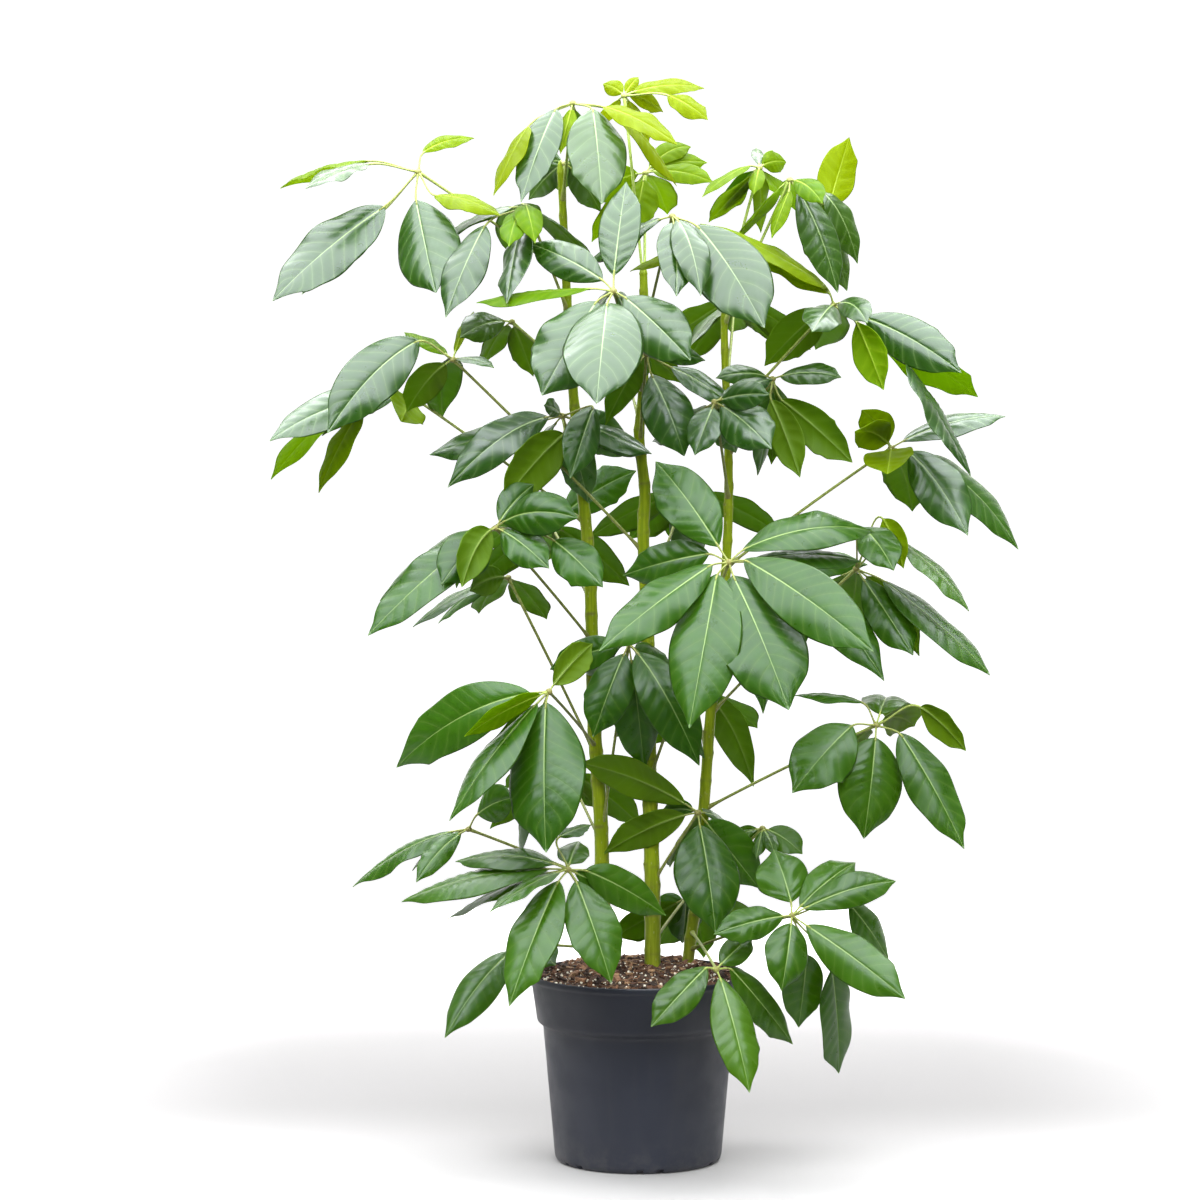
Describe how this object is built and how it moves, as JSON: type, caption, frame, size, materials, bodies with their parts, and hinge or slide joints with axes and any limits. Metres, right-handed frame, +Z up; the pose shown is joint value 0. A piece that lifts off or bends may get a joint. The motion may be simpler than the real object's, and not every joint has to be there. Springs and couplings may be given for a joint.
{
  "type": "potted umbrella plant",
  "caption": "Tall umbrella plant in a round tapered nursery pot of bark soil: upright stems carry long-stalked palmate fronds of glossy leaflets on all sides.",
  "frame": {"origin": "middle of the pot's flat underside", "axes": "+Z up along the pot's axis, -Y towards the side that the picture shows, +X to its right"},
  "size_m": [0.9499, 0.6099, 1.36],
  "materials": {
    "pot": "satin",
    "soil": "matte",
    "stem": "satin",
    "leaf": "satin",
    "young_leaf": "satin"
  },
  "bodies": {
    "root": {"pot": "pot", "soil": "soil", "stem_left": "stem", "stem_middle": "stem", "stem_right": "stem", "frond_left_top": "young_leaf", "frond_left_top_inner": "young_leaf", "frond_top": "young_leaf", "frond_top_inner": "young_leaf", "frond_top_right": "young_leaf", "frond_top_back": "young_leaf", "frond_middle_top": "leaf", "frond_right_top_inner": "young_leaf", "frond_right_top": "young_leaf", "frond_right_top_outer": "young_leaf", "frond_right_upper": "leaf", "frond_right_inner": "leaf", "frond_middle_upper_left": "leaf", "frond_middle_upper": "leaf", "frond_right_middle": "leaf", "frond_centre": "leaf", "frond_centre_back": "leaf", "frond_right_lower_middle": "leaf", "frond_right_lower": "leaf", "frond_right_bottom": "leaf", "frond_right_bottom_young": "leaf", "frond_pot_front": "leaf", "frond_lower_centre": "leaf", "frond_centre_left": "leaf", "frond_left_upper": "leaf", "frond_left_upper_back": "leaf", "frond_left_inner": "leaf", "frond_left_middle_inner": "leaf", "frond_left_middle": "leaf", "frond_left_middle_lower": "leaf", "frond_left_lower": "leaf", "frond_left_bottom": "leaf", "frond_front_left": "leaf", "frond_left_rim": "leaf", "frond_back_bottom": "leaf", "frond_back_low_left": "leaf", "frond_back_low_right": "leaf", "frond_back_middle_left": "leaf", "frond_back_middle_right": "leaf", "frond_back_upper_left": "leaf", "frond_back_upper_right": "leaf"}
  },
  "joints": []
}
